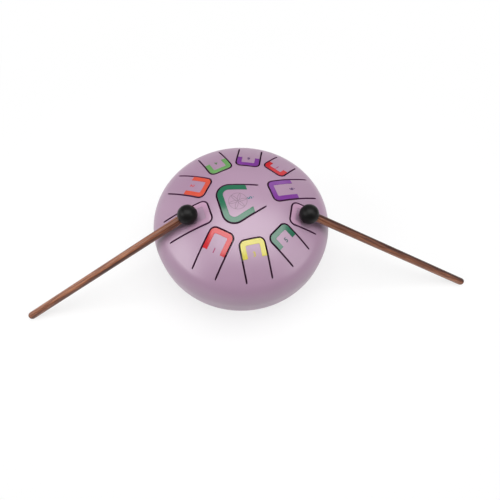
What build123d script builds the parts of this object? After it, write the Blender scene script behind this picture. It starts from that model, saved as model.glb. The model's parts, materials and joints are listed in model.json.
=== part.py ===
from build123d import *
import math
import os
from dataclasses import dataclass

# A steel tongue drum and its two mallets, each piece a solid of its own.
# The origin is on the drum's axis, on the surface that it stands on. +Z is up, +X is to the player's
# right and -Y faces the player. Lengths are in millimetres and angles in degrees.

# Drum shells
SHEET = 1.5  # thickness of the pressed steel
DRUM_RADIUS = 75.0  # outside of the wall
DOME_RADIUS = 120.0  # outside of the playing dome
SHOULDER_RADIUS = 23.2  # outside of the bend between dome and wall
TOP_WALL = 4.4  # straight wall of the top shell, down to the weld
BOTTOM_WALL = 4.5  # straight wall of the bottom shell, up to the weld
BELLY_RADIUS = 22.0  # outside of the bend below the wall
BELLY_SLOPE = 30.0  # rise of the cone below that bend, from level
BASE_RADIUS = 42.0  # where the cone's line meets the flat base
BASE_BEND_RADIUS = 15.0  # outside of the bend between cone and base
SOUND_HOLE_RADIUS = 20.0

# Push-in rubber feet
FOOT_COUNT = 3
FOOT_HEIGHT = 6.0  # from the table to the base
FOOT_RADIUS = 7.0  # where the pad meets the base
FOOT_TOE_RADIUS = 6.0  # where the pad meets the table
FOOT_EDGE = 0.8  # rounding of the toe
STEM_RADIUS = 3.0
STEM_CLEARANCE = 0.05
BARB_RADIUS = 4.2
BARB_TOP_RADIUS = 2.2
BARB_HEIGHT = 3.0

# Tongues: the ring points at the centre, and each root bends at the edge of the dome
SLOT = 1.0  # width of the cut around a tongue
ROOT_GAP = 0.05  # parts the bending root from the shell
ROOT_MARGIN = 1.7  # from a ring root to the edge of the dome
RING_ROOT_WIDTH = 18.8
RING_TIP_WIDTH = 18.7
RING_CORNER = 4.0
CENTRE_AZIMUTH = 17.1
CENTRE_ROOT = 16.8  # from the drum's axis to the root
CENTRE_TIP = -17.2  # the tip is on the other side of the axis
CENTRE_OFFSET = -0.9  # of its centre line from the drum's axis, to the left as seen from its tip
CENTRE_ROOT_WIDTH = 19.2
CENTRE_TIP_WIDTH = 40.6  # where the straight sides would meet the tip
CENTRE_CORNER = 8.9
CENTRE_BAND_LEG = 24.0

# Ring notes, clockwise from the back left: azimuth, tip distance from the axis, length of the band's legs
RING_NOTES = {
    "4": (117.3, 34.1, 13.9),
    "6": (82.4, 36.5, 11.5),
    "high_1": (51.1, 40.9, 9.0),
    "low_6": (19.8, 25.2, 21.0),
    "7": (-11.0, 40.1, 9.1),
    "5": (-42.4, 36.2, 11.8),
    "3": (-77.4, 33.4, 13.3),
    "1": (-117.3, 29.3, 16.9),
    "low_7": (-161.2, 26.3, 19.5),
    "2": (156.1, 29.7, 17.1),
}
CENTRE_NOTE = "low_5"

# Coloured note bands along the tip of each tongue
BAND_THICKNESS = 0.25
BAND_FILM = 0.02  # adhesive below the band
BAND_INSET = 0.15  # bare edge of the tongue outside the band
RING_BAND_WIDTH = 3.8
CENTRE_BAND_WIDTH = 4.4
BAND_INNER_CORNER = 1.0  # least rounding of the inner corners

# Mallets, resting with the head on a tongue and the tail on the table
MALLET_LENGTH = 178.0  # from the centre of the head to the tail
STICK_RADIUS = 3.3
TAIL_ROUNDING = 2.6
HEAD_RADIUS = 7.7
HEAD_BORE = 11.0  # depth of the blind bore that takes the stick
HEAD_GLUE = 0.02
HEAD_REST_GAP = 0.45  # from the head to the tongue below it
# Side: note below the head, distance of the head inwards from the tongue's root and to the left of its
# centre line as seen from its tip, turn of the stick from the tongue
MALLETS = {
    "left": ("low_7", 19.4, 0.8, 1.9),
    "right": ("7", 9.0, -1.4, 0.8),
}

# Heights and radii that follow from the sizes above
BELLY_SWEEP = 90.0 - BELLY_SLOPE
SLOPE = math.radians(BELLY_SLOPE)
CONE_TOP_RADIUS = DRUM_RADIUS - BELLY_RADIUS + BELLY_RADIUS * math.sin(SLOPE)
CONE_HEIGHT = (CONE_TOP_RADIUS - BASE_RADIUS) * math.tan(SLOPE)
BELLY_Z = FOOT_HEIGHT + CONE_HEIGHT + BELLY_RADIUS * math.cos(SLOPE)
SEAM_Z = BELLY_Z + BOTTOM_WALL
SHOULDER_Z = SEAM_Z + TOP_WALL
SHOULDER_CENTRE = DRUM_RADIUS - SHOULDER_RADIUS
DOME_SWEEP = math.degrees(math.asin(SHOULDER_CENTRE / (DOME_RADIUS - SHOULDER_RADIUS)))
DOME_Z = SHOULDER_Z - SHOULDER_CENTRE / math.tan(math.radians(DOME_SWEEP))
CROWN_Z = DOME_Z + DOME_RADIUS
DOME_EDGE = DOME_RADIUS * math.sin(math.radians(DOME_SWEEP))
RING_ROOT = DOME_EDGE - ROOT_MARGIN
BASE_BEND_CENTRE = BASE_RADIUS - BASE_BEND_RADIUS * math.tan(SLOPE / 2)
FOOT_CIRCLE = (SOUND_HOLE_RADIUS + BASE_BEND_CENTRE) / 2
CUT_HEIGHT = 2 * CROWN_Z  # of the prisms that cut the dome in plan


@dataclass(frozen=True)
class Tongue:
    """Plan sizes of one tongue, along and across its own centre line."""

    azimuth: float
    root: float
    tip: float
    root_width: float
    tip_width: float
    corner: float
    band_leg: float
    band_width: float
    offset: float = 0.0

    def outline(self, end, grow=0.0, least_corner=0.0):
        """Plan face from the tip to the line at end, with the sides and the tip moved outwards by grow."""
        flare = (self.tip_width - self.root_width) / 2 / (self.root - self.tip)
        tip = self.tip - grow

        def half_width(along):
            return self.root_width / 2 + flare * (self.root - along) + grow * math.hypot(1, flare)

        corners = [
            (end, -half_width(end)),
            (tip, -half_width(tip)),
            (tip, half_width(tip)),
            (end, half_width(end)),
        ]
        face = make_face(Polyline(*corners, close=True))
        tip_corners = face.vertices().group_by(Axis.X)[0]
        face = fillet(tip_corners, max(self.corner + grow, least_corner))
        return Rot(0, 0, self.azimuth) * Pos(0, self.offset, 0) * face


def all_tongues():
    """Every tongue by note, the centre one first."""
    tongues = {
        CENTRE_NOTE: Tongue(
            CENTRE_AZIMUTH,
            CENTRE_ROOT,
            CENTRE_TIP,
            CENTRE_ROOT_WIDTH,
            CENTRE_TIP_WIDTH,
            CENTRE_CORNER,
            CENTRE_BAND_LEG,
            CENTRE_BAND_WIDTH,
            CENTRE_OFFSET,
        )
    }
    for note, (azimuth, tip, leg) in RING_NOTES.items():
        tongues[note] = Tongue(
            azimuth,
            RING_ROOT,
            tip,
            RING_ROOT_WIDTH,
            RING_TIP_WIDTH,
            RING_CORNER,
            leg,
            RING_BAND_WIDTH,
        )
    return tongues


def profile_point(radius, height):
    """A point of a turned profile, in the half plane where y is 0."""
    return Vector(radius, 0, height)


def profile_arc(centre_radius, centre_height, radius, start, end):
    """An arc of a turned profile between two angles, measured upwards from level."""
    points = []
    for angle in (start, (start + end) / 2, end):
        turn = math.radians(angle)
        points.append(
            profile_point(centre_radius + radius * math.cos(turn), centre_height + radius * math.sin(turn))
        )
    return ThreePointArc(*points)


def turned(edges):
    """The solid that a closed profile sweeps about the drum's axis."""
    return revolve(make_face(edges), Axis.Z)


def closed_between(outer, inner):
    """Two open chains of profile edges and the two lines that join their ends."""
    first = Line(outer[0] @ 0, inner[0] @ 0)
    last = Line(outer[-1] @ 1, inner[-1] @ 1)
    return [*outer, *inner, first, last]


def top_chain(inset):
    """Profile of the top shell from the crown to the weld, moved into the sheet by inset."""
    wall = DRUM_RADIUS - inset
    return [
        profile_arc(0, DOME_Z, DOME_RADIUS - inset, 90, 90 - DOME_SWEEP),
        profile_arc(SHOULDER_CENTRE, SHOULDER_Z, SHOULDER_RADIUS - inset, 90 - DOME_SWEEP, 0),
        Line(profile_point(wall, SHOULDER_Z), profile_point(wall, SEAM_Z)),
    ]


def bottom_chain(inset):
    """Profile of the bottom shell from the weld to the sound hole, moved into the sheet by inset."""
    wall = DRUM_RADIUS - inset
    belly = profile_arc(DRUM_RADIUS - BELLY_RADIUS, BELLY_Z, BELLY_RADIUS - inset, 0, -BELLY_SWEEP)
    bend_z = FOOT_HEIGHT + BASE_BEND_RADIUS
    bend = profile_arc(BASE_BEND_CENTRE, bend_z, BASE_BEND_RADIUS - inset, -BELLY_SWEEP, -90)
    return [
        Line(profile_point(wall, SEAM_Z), profile_point(wall, BELLY_Z)),
        belly,
        Line(belly @ 1, bend @ 0),
        bend,
        Line(bend @ 1, profile_point(SOUND_HOLE_RADIUS, FOOT_HEIGHT + inset)),
    ]


def make_top_blank():
    """The pressed top shell before its tongues are cut."""
    return turned(closed_between(top_chain(0), top_chain(SHEET)))


def make_top_shell(blank, tongues):
    """The top shell with a window around each tongue."""
    shell = blank
    for tongue in tongues.values():
        window = tongue.outline(tongue.root + ROOT_GAP, grow=SLOT)
        shell -= extrude(window, CUT_HEIGHT)
    return shell


def make_tongue(blank, tongue):
    """One tongue, left standing in its window and cut off at its root."""
    return blank & extrude(tongue.outline(tongue.root), CUT_HEIGHT)


def make_band(tongue):
    """The thin coloured band that follows a tongue's tip and sides on the dome."""
    end = tongue.tip + tongue.band_leg
    outer = tongue.outline(end, grow=-BAND_INSET)
    inner = tongue.outline(end, grow=-BAND_INSET - tongue.band_width, least_corner=BAND_INNER_CORNER)
    under = DOME_RADIUS + BAND_FILM
    skin = Sphere(under + BAND_THICKNESS) - Sphere(under)
    return extrude(outer - inner, CUT_HEIGHT) & Pos(0, 0, DOME_Z) * skin


def foot_places():
    """Centres of the feet on the base."""
    return PolarLocations(FOOT_CIRCLE, FOOT_COUNT, start_angle=90)


def make_bottom_shell():
    """The bottom shell with its sound hole and the feet's holes."""
    shell = turned(closed_between(bottom_chain(0), bottom_chain(SHEET)))
    hole = Pos(0, 0, FOOT_HEIGHT) * Cylinder(STEM_RADIUS + STEM_CLEARANCE, 4 * SHEET)
    for place in foot_places():
        shell -= place * hole
    return shell


def make_foot():
    """A rubber foot about its own axis: pad below the base, stem in its hole, barb above it."""
    inside = FOOT_HEIGHT + SHEET
    corners = [
        (0, 0),
        (FOOT_TOE_RADIUS, 0),
        (FOOT_RADIUS, FOOT_HEIGHT),
        (STEM_RADIUS, FOOT_HEIGHT),
        (STEM_RADIUS, inside),
        (BARB_RADIUS, inside),
        (BARB_TOP_RADIUS, inside + BARB_HEIGHT),
        (0, inside + BARB_HEIGHT),
    ]
    edges = [profile_point(radius, height) for radius, height in corners]
    foot = turned(Polyline(*edges, close=True))
    toe = foot.edges().filter_by(GeomType.CIRCLE).group_by(Axis.Z)[0]
    return fillet(toe, FOOT_EDGE)


def mallet_plane(tongue, inwards, aside, turn):
    """The mallet's place: origin at the centre of its head, Z along the stick to its tail on the table."""
    place = Vector(tongue.root - inwards, tongue.offset + aside).rotate(Axis.Z, tongue.azimuth)
    reach = DOME_RADIUS + HEAD_RADIUS + HEAD_REST_GAP
    head_z = DOME_Z + math.sqrt(reach**2 - place.length**2)
    along = MALLET_LENGTH - TAIL_ROUNDING
    across = STICK_RADIUS - TAIL_ROUNDING
    tilt = math.asin((head_z - TAIL_ROUNDING) / math.hypot(along, across)) - math.atan2(across, along)
    heading = math.radians(tongue.azimuth + turn)
    level = math.cos(tilt)
    stick = Vector(level * math.cos(heading), level * math.sin(heading), -math.sin(tilt))
    return Plane(origin=place + Vector(0, 0, head_z), z_dir=stick)


def make_stick():
    """The wooden stick, from the bottom of the head's bore to its rounded tail."""
    start = HEAD_RADIUS - HEAD_BORE
    length = MALLET_LENGTH - start
    stick = Pos(0, 0, start + length / 2) * Cylinder(STICK_RADIUS, length)
    tail = stick.edges().filter_by(GeomType.CIRCLE).group_by(Axis.Z)[-1]
    return fillet(tail, TAIL_ROUNDING)


def make_head():
    """The rubber ball with a blind bore for the stick."""
    start = HEAD_RADIUS - HEAD_BORE
    bore = Pos(0, 0, start + HEAD_RADIUS) * Cylinder(STICK_RADIUS + HEAD_GLUE, 2 * HEAD_RADIUS)
    return Sphere(HEAD_RADIUS) - bore


def all_pieces():
    """Every piece in its place, by node name."""
    tongues = all_tongues()
    blank = make_top_blank()
    pieces = {
        "top_shell": make_top_shell(blank, tongues),
        "bottom_shell": make_bottom_shell(),
    }
    for number, place in enumerate(foot_places(), start=1):
        pieces[f"foot_{number}"] = place * make_foot()
    for note, tongue in tongues.items():
        pieces[f"tongue_{note}"] = make_tongue(blank, tongue)
        pieces[f"band_{note}"] = make_band(tongue)
    for side, (note, inwards, aside, turn) in MALLETS.items():
        place = mallet_plane(tongues[note], inwards, aside, turn).location
        pieces[f"{side}_mallet_stick"] = place * make_stick()
        pieces[f"{side}_mallet_head"] = place * make_head()
    return pieces


os.makedirs("parts", exist_ok=True)
for node, piece in all_pieces().items():
    export_step(piece, f"parts/{node}.step")
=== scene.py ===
"""A lavender steel tongue drum of eleven notes and its two mallets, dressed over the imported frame.

Lengths are metres in the frame's axes: the drum stands on z = 0 about the z axis and -y is its front.
A tongue is drawn in its own plan, along from the drum's axis to its root and across to the left of that.
"""

import json
import logging
import math
from collections.abc import Callable, Sequence
from dataclasses import dataclass
from enum import Enum
from itertools import pairwise

import bpy
import numpy as np
from mathutils import Euler, Matrix, Vector
from mathutils.geometry import delaunay_2d_cdt


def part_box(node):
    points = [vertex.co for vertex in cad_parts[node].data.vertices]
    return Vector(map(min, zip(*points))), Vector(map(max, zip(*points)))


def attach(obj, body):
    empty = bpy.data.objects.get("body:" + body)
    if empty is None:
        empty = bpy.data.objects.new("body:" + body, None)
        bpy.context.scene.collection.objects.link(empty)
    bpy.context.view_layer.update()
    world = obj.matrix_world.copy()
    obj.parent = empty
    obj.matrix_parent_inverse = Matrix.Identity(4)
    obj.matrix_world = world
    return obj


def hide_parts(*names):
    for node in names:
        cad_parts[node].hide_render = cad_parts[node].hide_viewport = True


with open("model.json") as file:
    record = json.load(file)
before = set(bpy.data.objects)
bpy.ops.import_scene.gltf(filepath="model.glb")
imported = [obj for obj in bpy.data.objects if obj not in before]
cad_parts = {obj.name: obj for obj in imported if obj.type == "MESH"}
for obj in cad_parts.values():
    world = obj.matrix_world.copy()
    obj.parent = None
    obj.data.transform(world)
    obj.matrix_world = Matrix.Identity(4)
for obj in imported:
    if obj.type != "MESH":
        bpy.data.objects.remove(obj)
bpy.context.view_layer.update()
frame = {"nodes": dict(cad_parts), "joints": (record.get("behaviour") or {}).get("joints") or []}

log = logging.getLogger("tongue_drum")

Array = np.ndarray
Colour = tuple[float, float, float]
Spot = tuple[float, float]  # radius and height
Stop = tuple[float, Colour]  # a place from 0 to 1 along a ramp, and the colour there
Skin = Callable[[Array, Array | float], tuple[Array, Array]]

MM = 0.001
WELD = 1e-7  # points nearer than this are one vertex
COMB_RISE = math.sqrt(0.75)  # height of a honeycomb's row, as a share of its step
COMB_CLEARANCE = 0.7  # share of its step that a honeycomb keeps from the border
MERGE = 1e-6  # millimetres of a plan within which points are one to the triangulation
SLIVER = 1e-3  # share of its sides' squares below which a triangle in plan is flat
ROUND_STEPS = 256  # columns of a surface turned about the drum's axis
SMALL_STEPS = 64  # columns of a surface turned about a mallet or a foot
QUARTER_STEPS = 4  # rows round the arris of a plate or a strip
TEXT_STEPS = 6  # steps of each curve of a numeral
TEXT_EXTRUDE = 0.01  # half of a numeral's thickness, in its font's own units
TEXT_WEIGHT = 0.03  # how far its strokes are thickened, in the same units
WHITE = (1.0, 1.0, 1.0, 1.0)


def srgb(red: float, green: float, blue: float) -> Colour:
    """Linear colour of a screen colour whose channels run from 0 to 255."""
    share = np.array([red, green, blue]) / 255.0
    linear = np.where(share <= 0.04045, share / 12.92, ((share + 0.055) / 1.055) ** 2.4)
    return tuple(float(channel) for channel in linear)


def unit(vectors: Array) -> Array:
    """Vectors scaled to length 1."""
    return vectors / np.linalg.norm(vectors, axis=-1, keepdims=True)


# Surfaces


@dataclass(frozen=True)
class Surface:
    """A patch of triangles.

    Attributes:
        points: Places of the patch's points.
        normals: Outward direction at each point.
        faces: Three point numbers for each triangle, counter-clockwise seen from outside.
        tone: How far each point lies inside the steel's cut, from 0 on the outside to 1 on the inside,
            which the paint draws as painted shade.
    """

    points: Array
    normals: Array
    faces: Array
    tone: Array

    def placed(self, origin: Array, axes: Array) -> "Surface":
        """The patch with its own axes laid on the rows of axes and its zero moved to origin."""
        return Surface(self.points @ axes + origin, self.normals @ axes, self.faces, self.tone)

    def flipped(self) -> "Surface":
        """The patch with its triangles turned to face the other way."""
        return Surface(self.points, self.normals, self.faces[:, ::-1], self.tone)


def grid(points: Array, normals: Array, tone: Array | float = 0.0, closed: bool = False) -> Surface:
    """Cuts a grid of points into triangles, two to a cell, with row step cross column step outwards.

    Args:
        points: Places, by row and column.
        normals: Outward directions, by row and column.
        tone: Tone of the points, in any shape that spreads over the grid.
        closed: Whether the last column joins the first.

    Returns:
        The surface.
    """
    rows, columns = points.shape[:2]
    index = np.arange(rows * columns).reshape(rows, columns)
    if closed:
        index = np.concatenate([index, index[:, :1]], axis=1)
    near, far = index[:-1], index[1:]
    first = np.stack([near[:, :-1], far[:, :-1], far[:, 1:]], axis=-1)
    second = np.stack([near[:, :-1], far[:, 1:], near[:, 1:]], axis=-1)
    faces = np.concatenate([first.reshape(-1, 3), second.reshape(-1, 3)])
    spread = np.broadcast_to(tone, (rows, columns)).reshape(-1)
    return Surface(points.reshape(-1, 3), normals.reshape(-1, 3), faces, spread)


def faceted(points: Array, faces: Array) -> Surface:
    """Triangles that each keep their own flat normal."""
    corners = points[faces]
    across = np.cross(corners[:, 1] - corners[:, 0], corners[:, 2] - corners[:, 0])
    size = np.linalg.norm(across, axis=1)
    corners = corners[size > 0.0]
    normals = np.repeat(unit(across[size > 0.0]), 3, axis=0)
    count = len(corners) * 3
    return Surface(corners.reshape(-1, 3), normals, np.arange(count).reshape(-1, 3), np.zeros(count))


@dataclass(frozen=True)
class Profile:
    """A line to be turned about an axis, with the outside on the left of its travel.

    Attributes:
        points: Radius and height of each point.
        normals: Outward direction at each point.
    """

    points: Array
    normals: Array

    @classmethod
    def line(cls, start: Spot, end: Spot) -> "Profile":
        """A straight run, whose normal is its travel turned to the left."""
        points = np.array([start, end])
        travel = unit(points[1] - points[0])
        normal = np.array([-travel[1], travel[0]])
        return cls(points, np.stack([normal, normal]))

    @classmethod
    def arc(cls, centre: Spot, radius: float, start: float, end: float, steps: int) -> "Profile":
        """A round run: centre plus radius times (cos a, sin a).

        Args:
            centre: Radius and height of the arc's centre.
            radius: The arc's own radius.
            start: First angle from level, in radians.
            end: Last angle; where it is the smaller one, the outside lies away from the centre.
            steps: Steps between the two.

        Returns:
            The run.
        """
        angle = np.linspace(start, end, steps + 1)
        spoke = np.stack([np.cos(angle), np.sin(angle)], axis=-1)
        return cls(np.array(centre) + radius * spoke, spoke * np.sign(start - end))

    @classmethod
    def chain(cls, *runs: "Profile") -> "Profile":
        """Runs joined end to end, with each corner kept sharp."""
        points = np.concatenate([run.points for run in runs])
        return cls(points, np.concatenate([run.normals for run in runs]))

    @classmethod
    def path(cls, *corners: Spot) -> "Profile":
        """Straight runs from corner to corner."""
        return cls.chain(*(cls.line(start, end) for start, end in pairwise(corners)))

    def turned(self, steps: int = ROUND_STEPS, tone: Array | float = 0.0) -> Surface:
        """Sweeps the profile about z: (r cos a, r sin a, z) for a full turn of a.

        Args:
            steps: Columns of the turn.
            tone: Tone of the surface.

        Returns:
            The closed surface.
        """
        angle = np.linspace(0.0, 2.0 * np.pi, steps, endpoint=False)
        spoke = np.stack([np.cos(angle), np.sin(angle), np.zeros(steps)], axis=-1)
        rise = np.array([0.0, 0.0, 1.0])
        points = self.points[:, None, :1] * spoke + self.points[:, None, 1:] * rise
        normals = self.normals[:, None, :1] * spoke + self.normals[:, None, 1:] * rise
        return grid(points, normals, tone, closed=True)


@dataclass(frozen=True)
class Outline:
    """A closed loop in plan, with the plate that it bounds on the left of its travel.

    Attributes:
        points: Places of the loop.
        outward: Directions out of the plate.
        rounding: Radius of the plate's arrises at each point.
        joined: Whether another surface goes on there, so that the plate has no wall.
    """

    points: Array
    outward: Array
    rounding: Array
    joined: bool = False

    @classmethod
    def circle(
        cls, radius: float, centre: Sequence[float] = (0.0, 0.0), rounding: float = 0.0,
        steps: int = ROUND_STEPS, joined: bool = False,
    ) -> "Outline":
        """A round plate's loop: centre plus radius times (cos a, sin a).

        Args:
            radius: The loop's radius.
            centre: Its centre in plan.
            rounding: Radius of the arrises.
            steps: Points of the loop.
            joined: Whether another surface goes on there.

        Returns:
            The loop.
        """
        angle = np.linspace(0.0, 2.0 * np.pi, steps, endpoint=False)
        spoke = np.stack([np.cos(angle), np.sin(angle)], axis=-1)
        return cls(np.array(centre) + radius * spoke, spoke, np.full(steps, rounding), joined)

    def as_hole(self) -> "Outline":
        """The loop of a hole of that shape in a larger plate."""
        return Outline(self.points[::-1], -self.outward[::-1], self.rounding[::-1], self.joined)

    def rim(self) -> Array:
        """The loop where the plate's even face starts, in by the rounding and without repeated points."""
        loop = self.points - self.outward * self.rounding[:, None]
        step = np.linalg.norm(np.roll(loop, -1, axis=0) - loop, axis=1)
        return loop[step > WELD]

    def wall(self, skin: Skin, thickness: float) -> Surface:
        """The plate's wall along the loop, with quarter-round arrises.

        At turn a of the outer arris, rounded by e, a point stands e(1 - sin a) in from the loop and
        e(1 - cos a) deep. The inner arris mirrors it, and the normal leans by a from the skin's own.

        Args:
            skin: Places and outward normals of the plate over its plan.
            thickness: Depth of the plate.

        Returns:
            The wall.
        """
        quarter = np.linspace(0.0, np.pi / 2.0, QUARTER_STEPS + 1)
        turn = np.concatenate([quarter, quarter + np.pi / 2.0])[:, None]
        outer = np.arange(len(turn))[:, None] <= QUARTER_STEPS
        inset = self.rounding * (1.0 - np.sin(turn))
        near = self.rounding * (1.0 - np.cos(turn))
        far = thickness - self.rounding * (1.0 + np.cos(turn))
        depth = np.where(outer, near, far)
        points, up = skin(self.points - self.outward * inset[..., None], depth)
        side = np.concatenate([self.outward, np.zeros((len(self.outward), 1))], axis=1)
        normals = unit(up * np.cos(turn)[..., None] + side * np.sin(turn)[..., None])
        return grid(points, normals, depth / thickness, closed=True)


def within(points: Array, loops: Sequence[Array]) -> Array:
    """Which points lie in the plate between loops: a ray to the right crosses them an odd number of times.

    Args:
        points: Plan points.
        loops: The outer loop and the holes.

    Returns:
        A yes or no for each point.
    """
    head = np.concatenate(loops)
    tail = np.concatenate([np.roll(loop, -1, axis=0) for loop in loops])
    level = points[:, 1:]
    spans = (head[:, 1] > level) != (tail[:, 1] > level)
    rise = tail[:, 1] - head[:, 1]
    slope = (tail[:, 0] - head[:, 0]) / np.where(rise == 0.0, 1.0, rise)
    crossing = head[:, 0] + (level - head[:, 1]) * slope
    return (spans & (points[:, :1] < crossing)).sum(axis=1) % 2 == 1


def filled(loops: Sequence[Array], pitch: float) -> tuple[Array, Array]:
    """Fills the plan between loops with Delaunay triangles over a honeycomb of points.

    The flat slivers that rounding leaves along straight borders are dropped.

    Args:
        loops: The outer loop and the holes.
        pitch: Step of the honeycomb.

    Returns:
        The plan points and the triangles, counter-clockwise.
    """
    border = np.concatenate(loops)
    starts = np.cumsum([0, *(len(loop) for loop in loops)])
    runs = [np.arange(first, last) for first, last in pairwise(starts)]
    edges = np.concatenate([np.stack([run, np.roll(run, -1)], axis=1) for run in runs])
    low, high = border.min(axis=0), border.max(axis=0)
    level = np.arange(low[1], high[1], pitch * COMB_RISE)
    shift = (np.arange(len(level)) % 2 * pitch / 2.0)[:, None]
    across = np.arange(low[0], high[0], pitch) + shift
    up = np.broadcast_to(level[:, None], across.shape)
    comb = np.stack([across, up], axis=-1).reshape(-1, 2)
    nearest = np.linalg.norm(comb[:, None] - border, axis=2).min(axis=1)
    comb = comb[(nearest > COMB_CLEARANCE * pitch) & within(comb, loops)]
    points = np.concatenate([border, comb])
    drawn = [Vector(point) for point in (points / MM).tolist()]
    _, _, triangles, sources, _, _ = delaunay_2d_cdt(drawn, edges.tolist(), [], 0, MERGE, True)
    faces = np.array([source[0] for source in sources])[np.array(triangles)]
    faces = faces[within(points[faces].mean(axis=1), loops)]
    sides = points[faces[:, 1:]] - points[faces[:, :1]]
    turn = sides[:, 0, 0] * sides[:, 1, 1] - sides[:, 0, 1] * sides[:, 1, 0]
    broad = np.abs(turn) > SLIVER * (sides**2).sum(axis=(1, 2))
    return points, np.where(turn[:, None] > 0.0, faces, faces[:, ::-1])[broad]


def plate(outlines: Sequence[Outline], skin: Skin, thickness: float, pitch: float) -> list[Surface]:
    """A sheet over the plan between loops: the skin, the skin moved in by the thickness, and the walls.

    Args:
        outlines: The outer loop and the holes.
        skin: Places and outward normals of the plate over its plan.
        thickness: Depth of the plate.
        pitch: Step of the points on its faces.

    Returns:
        The sheet's surfaces.
    """
    plan, faces = filled([outline.rim() for outline in outlines], pitch)
    count = len(plan)
    outer_points, outer_normals = skin(plan, 0.0)
    inner_points, inner_normals = skin(plan, thickness)
    surfaces = [
        Surface(outer_points, outer_normals, faces, np.zeros(count)),
        Surface(inner_points, -inner_normals, faces[:, ::-1], np.ones(count)),
    ]
    surfaces += [outline.wall(skin, thickness) for outline in outlines if not outline.joined]
    if outer_normals[0, 2] < 0.0:
        surfaces = [surface.flipped() for surface in surfaces]
    return surfaces


def strip(
    inner: Array, outer: Array, skin: Skin, lift: float, thickness: float, edge: float, closed: bool = False
) -> list[Surface]:
    """A thin strip on a skin between two paths in plan, with rounded upper arrises.

    The section rises at the inner path, crosses the top and falls at the outer one. A point is the place
    at its share of the way across, moved by its shift, and stands its height over the strip's underside.

    Args:
        inner: The path on the left of travel.
        outer: The path on the right, point for point.
        skin: Places and outward normals of what carries the strip.
        lift: Gap between the skin and the strip.
        thickness: Height of the strip.
        edge: Radius of the arrises.
        closed: Whether the strip goes all the way round.

    Returns:
        The strip's surfaces.
    """
    turn = np.linspace(-np.pi / 2.0, 0.0, QUARTER_STEPS + 1)
    inset = edge * (1.0 + np.sin(turn))
    rounded = thickness - edge * (1.0 - np.cos(turn))
    zero, one = np.zeros_like(turn), np.ones_like(turn)
    share = np.concatenate([[0.0], zero, [0.5], one, [1.0, 1.0, 0.0]])
    shift = np.concatenate([[0.0], inset, [0.0], -inset[::-1], [0.0] * 3])
    height = np.concatenate([[0.0], rounded, [thickness], rounded[::-1], [0.0] * 3])
    lean = np.concatenate([turn[:1], turn, [0.0], -turn[::-1], [np.pi / 2.0, np.pi, np.pi]])
    across = unit(outer - inner)
    plan = inner + (outer - inner) * share[:, None, None] + across * shift[:, None, None]
    points, up = skin(plan, -(lift + height[:, None]))
    side = np.concatenate([across, np.zeros((len(across), 1))], axis=1)
    normals = unit(up * np.cos(lean)[:, None, None] + side * np.sin(lean)[:, None, None])
    surfaces = [grid(points, normals, closed=closed)]
    if not closed:
        surfaces += [strip_end(points[:, 0], inner[0] - inner[1], True)]
        surfaces += [strip_end(points[:, -1], inner[-1] - inner[-2], False)]
    return surfaces


def strip_end(ring: Array, outward: Array, first: bool) -> Surface:
    """The flat end of a strip: its section's ring drawn in to the ring's middle.

    Args:
        ring: Points of the section.
        outward: Plan direction out of the end.
        first: Whether it is the end that the strip starts from.

    Returns:
        The end.
    """
    middle = np.broadcast_to(ring.mean(axis=0), ring.shape)
    pair = (middle, ring) if first else (ring, middle)
    normal = np.append(unit(outward), 0.0)
    return grid(np.stack(pair, axis=1), np.broadcast_to(normal, (len(ring), 2, 3)))


def make_piece(name: str, surfaces: Sequence[Surface]) -> bpy.types.Object:
    """Welds surfaces into one mesh that keeps their own normals and tones.

    Args:
        name: The piece's name.
        surfaces: Its surfaces.

    Returns:
        The new object.
    """
    starts = np.cumsum([0, *(len(surface.points) for surface in surfaces)])
    corners = np.concatenate([surface.faces + start for surface, start in zip(surfaces, starts)])
    points = np.concatenate([surface.points for surface in surfaces])
    normals = np.concatenate([surface.normals for surface in surfaces])
    tone = np.concatenate([surface.tone for surface in surfaces])
    cell = np.round(points / WELD).astype(np.int64)
    _, first, place = np.unique(cell, axis=0, return_index=True, return_inverse=True)
    faces = place.reshape(-1)[corners]
    whole = (faces != np.roll(faces, 1, axis=1)).all(axis=1)
    faces = faces[whole]
    corners = corners[whole].reshape(-1)

    mesh = bpy.data.meshes.new(name)
    mesh.vertices.add(len(first))
    mesh.vertices.foreach_set("co", points[first].astype(np.float32).reshape(-1))
    mesh.loops.add(faces.size)
    mesh.loops.foreach_set("vertex_index", faces.astype(np.int32).reshape(-1))
    mesh.polygons.add(len(faces))
    mesh.polygons.foreach_set("loop_start", np.arange(0, faces.size, 3, dtype=np.int32))
    mesh.polygons.foreach_set("loop_total", np.full(len(faces), 3, dtype=np.int32))
    mesh.update(calc_edges=True)
    tones = mesh.attributes.new("tone", "FLOAT", "CORNER")
    tones.data.foreach_set("value", tone[corners].astype(np.float32))
    mesh.normals_split_custom_set(normals[corners].tolist())
    piece = bpy.data.objects.new(name, mesh)
    bpy.context.scene.collection.objects.link(piece)
    return piece


# Finishes


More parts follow.
